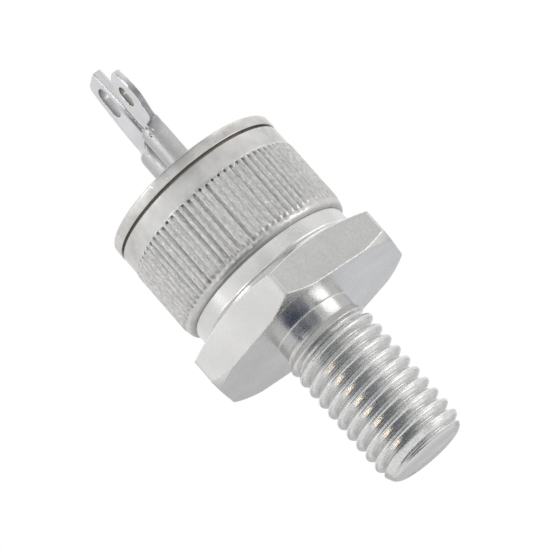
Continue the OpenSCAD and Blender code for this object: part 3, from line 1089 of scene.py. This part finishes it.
# %% Floor and world
FLOOR_SIZE, FLOOR_DROP = 1.2, 0.03
bpy.ops.mesh.primitive_plane_add(size=FLOOR_SIZE, location=(0, 0, (STUD_END - FLOOR_DROP) * MM))
floor = bpy.context.object
floor.name = "floor"
floor.visible_shadow = floor.visible_glossy = False


def chosen(tree, factor, one, two):
    """Shows the first shader where the factor is 0 and the second where it is 1."""
    choose = add(tree, "MixShader", {"Fac": factor})
    tree.links.new(one, choose.inputs[1])
    tree.links.new(two, choose.inputs[2])
    tree.links.new(choose.outputs[0], tree.nodes["Material Output"].inputs["Surface"])


paint, tree, shader = new_material("pale_floor")
shader["Base Color"].default_value = (0.86, 0.86, 0.86, 1)
shader["Roughness"].default_value = 0.9
behind = add(tree, "NewGeometry").outputs["Backfacing"]
clear = add(tree, "BsdfTransparent").outputs[0]
chosen(tree, behind, tree.nodes["Principled BSDF"].outputs[0], clear)
floor.data.materials.append(paint)
floor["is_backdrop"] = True

world = bpy.data.worlds.new("studio")
bpy.context.scene.world = world
world.use_nodes = True
tree = world.node_tree
sky = tree.nodes["Background"].inputs
sky["Color"].default_value = (1, 1, 1, 1)
path = add(tree, "LightPath").outputs
seen = math_node(tree, "MAXIMUM", path["Is Glossy Ray"], path["Is Transmission Ray"])
seen = math_node(tree, "MAXIMUM", path["Is Camera Ray"], seen)
feed(tree, sky["Strength"], ranged(tree, seen, 0.0, 1.0, 0.8, 1.0))
print("floor at", round(floor.location.z * 1000, 2), "mm")

# %% [markdown]
# ## Lamps
# Plating shows what stands round it. Four wide area lamps light it softly: one on
# the left, one behind and above, and two on the right, below and above, that draw
# the highlights along the stud and the can. Each is placed by its angle round the
# part from the front, its height and its distance, and turned to face the part.

# %% Lamps
def aimed(thing, angle, height, distance):
    place = way(angle) * distance + Vector((0, 0, height))
    thing.rotation_mode = "QUATERNION"
    thing.location, thing.rotation_quaternion = place, (-place).to_track_quat("-Z", "Y")


def lamp(name, angle, height, distance, wide, tall, watts):
    data = bpy.data.lights.new(name, "AREA")
    data.shape, data.size, data.size_y, data.energy = "RECTANGLE", wide, tall, watts
    light = bpy.data.objects.new(name, data)
    bpy.context.scene.collection.objects.link(light)
    aimed(light, angle, height, distance)
    print(name, watts, "W")


lamp("left_lamp", -62, 0.11, 0.45, 0.3, 0.35, 0.03)
lamp("top_lamp", 150, 0.3, 0.45, 0.3, 0.3, 0.06)
lamp("low_lamp", 66, -0.12, 0.45, 0.34, 0.14, 0.36)
lamp("right_lamp", 82, 0.27, 0.38, 0.42, 0.14, 0.17)

# %% [markdown]
# ## Cards
# Between the lamps stand plain glowing sheets, as a photographer sets up cards, and
# the metal reflects their tones. The camera doesn't see them, and they light no dull
# surface and cast no shadow. A small card close by reaches only the piece beside it,
# which lets the thread, the neck and the hexagon differ. Three cards show only in a
# reflection of a reflection: they tint the neck and the thread, which are seen in
# front of their own image in the metal, and leave the flat faces alone.

# %% Cards
SECOND_BOUNCE = 1.5


def card(name, angle, height, distance, wide, tall, colour, strength=1.0, second=False):
    """A glowing sheet; with second, only a reflection of a reflection shows it."""
    bpy.ops.mesh.primitive_plane_add(size=1)
    sheet = bpy.context.object
    sheet.name = name
    sheet.scale = (wide, tall, 1)
    aimed(sheet, angle, height, distance)
    sheet.visible_camera = sheet.visible_diffuse = sheet.visible_shadow = False
    paint, tree, _ = new_material(name)
    glow = add(tree, "Emission", {"Color": (*colour, 1), "Strength": strength}).outputs[0]
    if second:
        bounces = add(tree, "LightPath").outputs["Glossy Depth"]
        chosen(tree, math_node(tree, "GREATER_THAN", bounces, SECOND_BOUNCE),
               add(tree, "BsdfTransparent").outputs[0], glow)
    else:
        tree.links.new(glow, tree.nodes["Material Output"].inputs["Surface"])
    sheet.data.materials.append(paint)
    sheet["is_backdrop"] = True
    print(name, "at", angle, "degrees")


card("grey_card", 60, 0.1, 0.42, 0.2, 0.2, (0.73, 0.73, 0.73))
card("mid_card", 6, 0.104, 0.41, 0.16, 0.2, (0.85, 0.85, 0.85))
card("back_card", 178, -0.09, 0.40, 0.5, 0.2, (0.76, 0.77, 0.80))
card("low_grey", 214, -0.0105, 0.054, 0.07, 0.016, (0.6, 0.6, 0.6))
card("end_grey", 180, -0.0265, 0.054, 0.12, 0.015, (0.62, 0.62, 0.63))
card("neck_dark", -30, -0.0055, 0.024, 0.032, 0.008, (0.0, 0.03, 0.11), second=True)
card("thread_dark", -22, -0.013, 0.025, 0.038, 0.0135, (0.15, 0.155, 0.165))
card("crest_grey", -4, -0.0015, 0.025, 0.026, 0.009, (0.42, 0.43, 0.44))
card("neck_grey", 12, -0.0055, 0.024, 0.0064, 0.008, (0.22, 0.27, 0.35), second=True)
card("over_dark", -21, 0.24, 0.256, 0.34, 0.17, (0.13, 0.15, 0.18))
card("over_grey", 27, 0.24, 0.256, 0.20, 0.17, (0.25, 0.255, 0.26))
card("under_dark", 208, -0.235, 0.09, 0.14, 0.09, (0.05, 0.05, 0.06))
card("over_warm", -54, 0.216, 0.276, 0.09, 0.07, (1.0, 0.79, 0.54), 7.0, second=True)
card("rim_light", -74, 0.19, 0.36, 0.1, 0.06, (1.0, 1.0, 1.0), 2.5)
card("side_dark", 44, -0.146, 0.30, 0.14, 0.08, (0.1, 0.1, 0.1))
card("ear_light", -43, 0.0265, 0.025, 0.0075, 0.006, (1.0, 1.0, 1.0), 6.0)
card("cone_white", -10, 0.0105, 0.0135, 0.022, 0.004, (1.0, 1.0, 1.0), 1.1)

# %% Finish
for name, (low, high) in (("frame", cad_box), ("finished model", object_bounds())):
    print(name, [round((b - a) * 1000, 2) for a, b in zip(low, high)], "mm")
